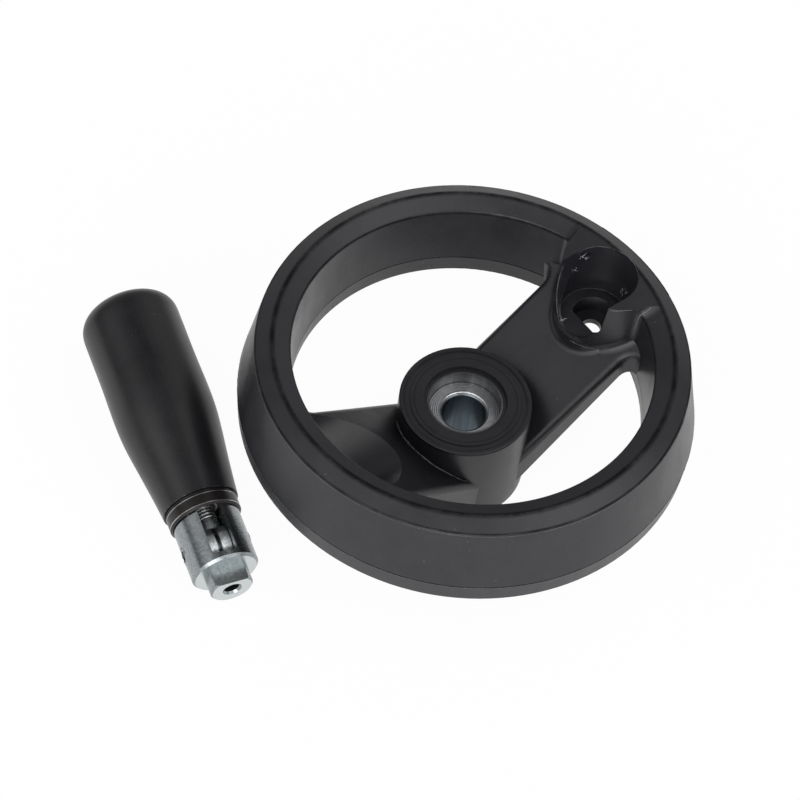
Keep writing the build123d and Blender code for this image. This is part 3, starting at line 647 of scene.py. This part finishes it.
parting_line = rim_ring(RIM_RADIUS - 0.03, PARTING_HEIGHT - 0.15)
bead_piece(
    "rim_parting_flash", (parting_line,), 0.055, 0.7, "root", BURR_PLASTIC, closed=True
)
for flash_name, (flash_lines, flash_radius, flash_raggedness, flash_material) in WHEEL_FLASH.items():
    bead_piece(
        flash_name, flash_lines, flash_radius, flash_raggedness, "root", flash_material
    )
tatter_piece("socket_tatters", SOCKET_TATTERS, 2.2, "root", FLASH_PLASTIC)
tatter_piece("seam_specks", SEAM_TATTERS, 1.2, "root", FLASH_PLASTIC)
turned_sector(
    "socket_wall", WALL_SECTION, Vector((SOCKET_X, 0, 0)), -WALL_TURN, WALL_TURN, WALL_STEPS,
    "root", WHEEL_PLASTIC,
)

# The handle's details, in mm from its seat along its axis
SPRING_START = 23.77
SPRING_END = 49.66
SPRING_COIL_RADIUS = 4.6
SPRING_WIRE = 1.2
SPRING_TURNS = 7
GRIP_MOUTH = 21.16
GRIP_MOUTH_RADIUS = 10.5
THREAD_START = 15.4
THREAD_END = 48.0
THREAD_ROOT = 2.96
THREAD_CREST = 3.085
THREAD_PITCH = 1.0

spring = coil_spring(
    "spring_coil", SPRING_START, SPRING_END, SPRING_COIL_RADIUS, SPRING_WIRE, SPRING_TURNS,
    "bolt", SPRING_STEEL,
)
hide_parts("lock_spring")
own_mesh(spring)
mouth_line = handle_ring(GRIP_MOUTH_RADIUS, GRIP_MOUTH)
bead_piece("grip_mouth_flash", (mouth_line,), 0.08, 0.7, "grip", BURR_PLASTIC, closed=True)
helical_thread(
    "bolt_thread", THREAD_START, THREAD_END, THREAD_ROOT, THREAD_CREST, THREAD_PITCH,
    "bolt", THREAD_ZINC_PAINTED_LIGHT,
)


# ---------------------------------------------------------------- camera, floor and light

CAMERA_PLACE = Vector((-0.34331, -0.33709, 0.67273))
CAMERA_ELEVATION = math.radians(53.406)
CAMERA_ROLL = math.radians(7.620)
CAMERA_HEADING = math.radians(46.6)  # the way it looks, seen from above, from +X
SENSOR_WIDTH = 36.0
FOCAL_LENGTH = 132.415
NEAREST_SEEN = 0.01

view_dir = Vector(
    (
        math.cos(CAMERA_ELEVATION) * math.cos(CAMERA_HEADING),
        math.cos(CAMERA_ELEVATION) * math.sin(CAMERA_HEADING),
        -math.sin(CAMERA_ELEVATION),
    )
)
level_right = Vector((math.sin(CAMERA_HEADING), -math.cos(CAMERA_HEADING), 0.0))
level_up = level_right.cross(view_dir)
right = level_right * math.cos(CAMERA_ROLL) + level_up * math.sin(CAMERA_ROLL)
up = level_up * math.cos(CAMERA_ROLL) - level_right * math.sin(CAMERA_ROLL)

camera_data = bpy.data.cameras.new("camera")
camera_data.sensor_width = SENSOR_WIDTH
camera_data.lens = FOCAL_LENGTH
camera_data.clip_start = NEAREST_SEEN
camera = bpy.data.objects.new("camera", camera_data)
turn = Matrix((right, up, -view_dir)).transposed().to_4x4()
camera.matrix_world = Matrix.Translation(CAMERA_PLACE) @ turn
bpy.context.scene.collection.objects.link(camera)
bpy.context.scene.camera = camera


FLOOR_HALF_WIDTH = 4.0
FLOOR_DROP = 0.0001  # below the hub's foot
FLOOR_CAMERA_SHARE = 0.96  # how much of the floor's look is plain white, the rest takes the shadow
FLOOR_GLOSSY_SHARE = 0.87  # how white it is in the part's reflections

SKY_FOCUS = 14.0
# Each soft light: degrees to the camera's right of straight ahead, degrees up, strength
SKY_LIGHTS = (
    # low, round the horizon; the strongest is behind the camera
    (0, 8, 0.25), (45, 8, 0.5), (135, 8, 1.0), (180, 8, 5.0), (225, 8, 0.5), (315, 8, 0.5),
    # half way up, mostly to the right and behind the camera
    (22.5, 34, 0.5), (112.5, 34, 2.0), (202.5, 34, 3.0),
    (247.5, 34, 1.25), (292.5, 34, 0.25), (337.5, 34, 0.25),
    # high
    (60, 60, 0.75), (120, 60, 1.5), (240, 60, 0.5),
)


def pale_floor():
    """White floor that keeps a soft shadow."""
    mesh = bpy.data.meshes.new("floor")
    half = FLOOR_HALF_WIDTH
    corners = [(-half, -half, 0), (half, -half, 0), (half, half, 0), (-half, half, 0)]
    mesh.from_pydata(corners, [], [(0, 1, 2, 3)])
    floor = bpy.data.objects.new("floor", mesh)
    floor.location.z = -FLOOR_DROP
    bpy.context.scene.collection.objects.link(floor)
    s = Shader("floor_white")
    tree = s.tree
    s.set(Base_Color=(0.92, 0.92, 0.92, 1), Roughness=0.9, Specular_IOR_Level=0.1)
    glow = tree.nodes.new("ShaderNodeEmission")
    glow.inputs["Strength"].default_value = 1.0
    path = tree.nodes.new("ShaderNodeLightPath")
    glossy = s.math("MULTIPLY", path.outputs["Is Glossy Ray"], FLOOR_GLOSSY_SHARE)
    camera_share = s.math("MULTIPLY", path.outputs["Is Camera Ray"], FLOOR_CAMERA_SHARE)
    share = s.math("MAXIMUM", glossy, camera_share)
    both = tree.nodes.new("ShaderNodeMixShader")
    tree.links.new(share, both.inputs[0])
    tree.links.new(s.surface.outputs[0], both.inputs[1])
    tree.links.new(glow.outputs[0], both.inputs[2])
    tree.links.new(both.outputs[0], s.output.inputs["Surface"])
    mesh.materials.append(s.material)


def studio_sky():
    """Sky of soft lights: each one is a wide lobe round its own direction. The camera sees plain white."""
    world = bpy.data.worlds.new("studio")
    bpy.context.scene.world = world
    world.use_nodes = True
    tree = world.node_tree
    background = tree.nodes["Background"]
    direction = tree.nodes.new("ShaderNodeTexCoord").outputs["Generated"]

    def step(operation, a, b):
        node = tree.nodes.new("ShaderNodeMath")
        node.operation = operation
        for socket, value in zip(node.inputs, (a, b)):
            if isinstance(value, bpy.types.NodeSocket):
                tree.links.new(value, socket)
            else:
                socket.default_value = value
        return node.outputs[0]

    level = 0.0
    for side, height, strength in SKY_LIGHTS:
        heading = CAMERA_HEADING - math.radians(side)
        rise = math.radians(height)
        flat = math.cos(rise)
        middle = (flat * math.cos(heading), flat * math.sin(heading), math.sin(rise))
        facing = tree.nodes.new("ShaderNodeVectorMath")
        facing.operation = "DOT_PRODUCT"
        tree.links.new(direction, facing.inputs[0])
        facing.inputs[1].default_value = middle
        lobe = step("POWER", step("MAXIMUM", facing.outputs["Value"], 0.0), SKY_FOCUS)
        level = step("ADD", step("MULTIPLY", lobe, strength), level)
    seen = tree.nodes.new("ShaderNodeLightPath").outputs["Is Camera Ray"]
    level = step("MULTIPLY", level, step("SUBTRACT", 1.0, seen))
    tree.links.new(step("ADD", level, seen), background.inputs["Strength"])
    background.inputs["Color"].default_value = (1, 1, 1, 1)


pale_floor()
studio_sky()

scene = bpy.context.scene
scene.view_settings.view_transform = "Standard"
